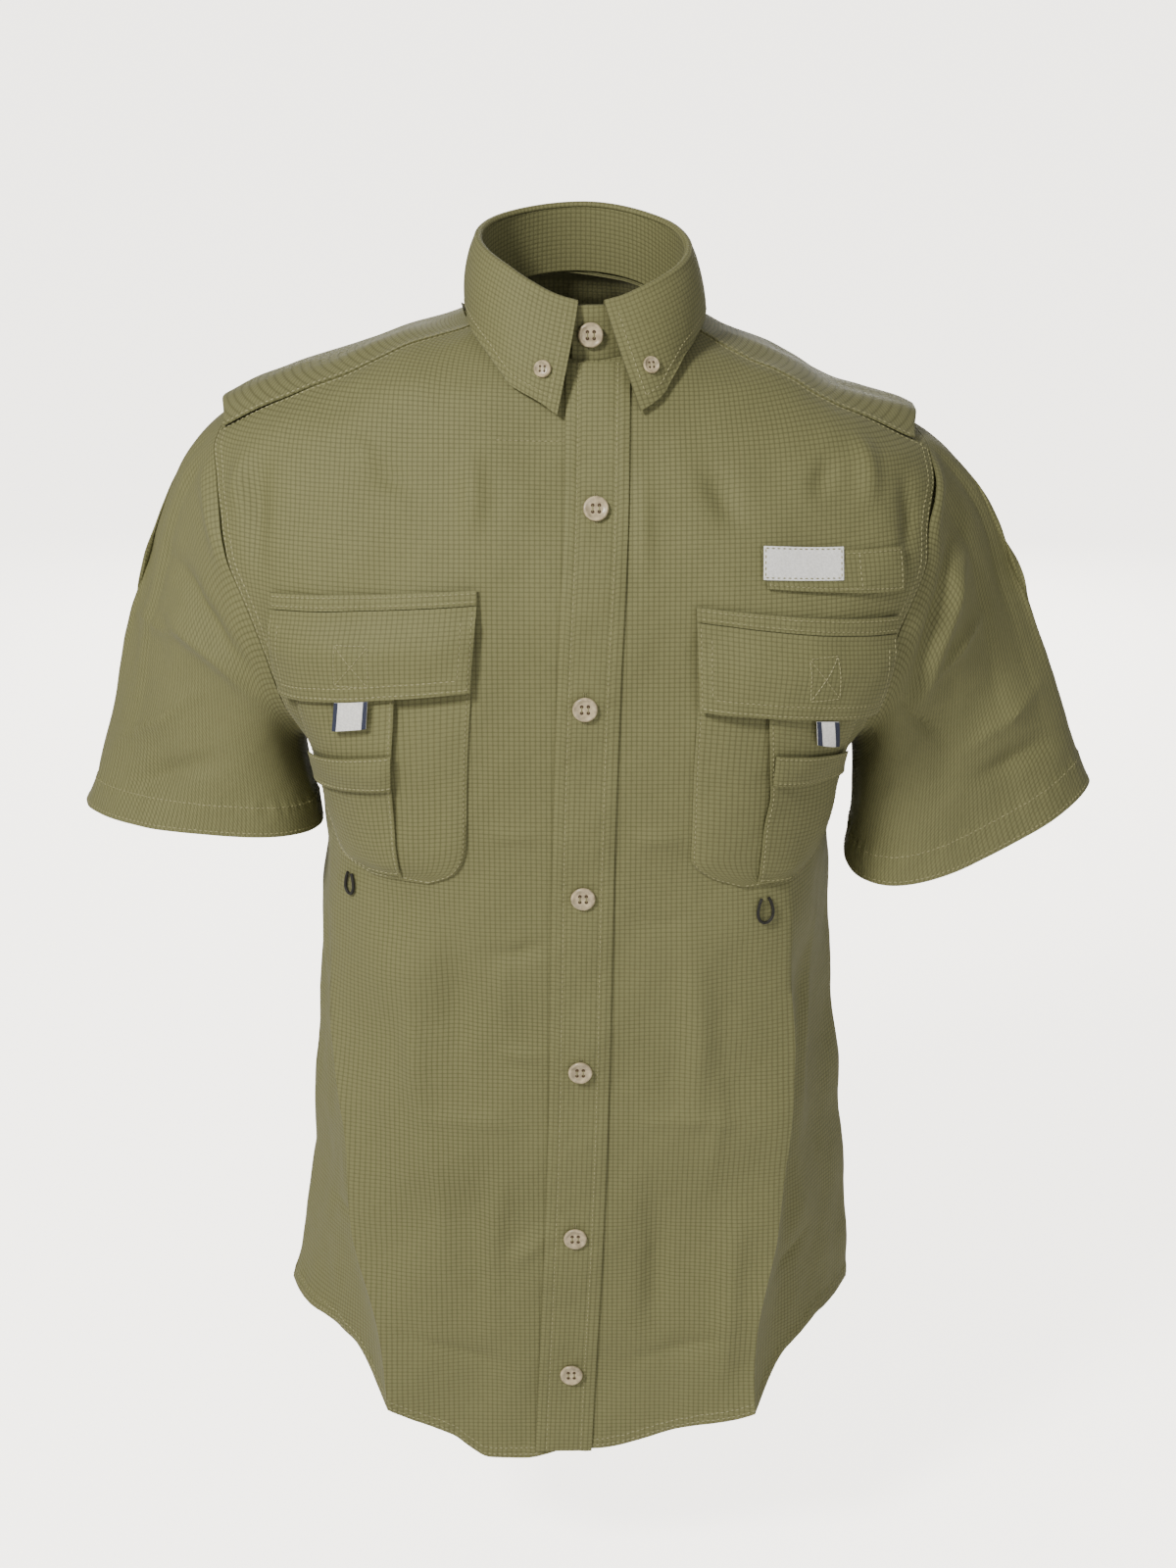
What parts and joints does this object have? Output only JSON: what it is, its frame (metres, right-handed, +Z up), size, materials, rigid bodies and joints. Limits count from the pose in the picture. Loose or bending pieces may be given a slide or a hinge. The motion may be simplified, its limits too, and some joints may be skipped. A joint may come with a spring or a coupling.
{
  "type": "tactical shirt",
  "caption": "Hollow worn short-sleeved utility shirt with a button-down collar, front band, flapped chest pockets and a vented back cape.",
  "frame": {"origin": "middle of the neck at the height of the shoulder points, where the wearer's neck and shoulders hold the shirt", "axes": "+Z up, -Y towards the front, +X towards the wearer's left side"},
  "size_m": [0.6291, 0.2685, 0.7885],
  "materials": {
    "cloth": "olive green mini-waffle weave with a slight satin sheen",
    "woven_white": "white woven tape",
    "elastic": "dark elastic cord",
    "button": "pearly cream, glossy"
  },
  "bodies": {
    "root": {"front_right": "cloth", "front_left": "cloth", "back": "cloth", "back_cape": "cloth", "sleeve_right": "cloth", "sleeve_left": "cloth", "collar_stand": "cloth", "collar_leaf": "cloth", "placket": "cloth", "pocket_right": "cloth", "side_pocket_right": "cloth", "pocket_band_right": "cloth", "flap_right": "cloth", "flap_strip_right": "cloth", "flap_tab_right": "woven_white", "pocket_left": "cloth", "side_pocket_left": "cloth", "pocket_band_left": "cloth", "flap_left": "cloth", "flap_strip_left": "cloth", "flap_tab_left": "woven_white", "rod_tab": "cloth", "label": "woven_white", "pocket_loop_right": "elastic", "pocket_loop_left": "elastic", "button_stand": "button", "button_1": "button", "button_2": "button", "button_3": "button", "button_4": "button", "button_5": "button", "button_6": "button", "collar_button_right": "button", "collar_button_left": "button"}
  },
  "joints": []
}
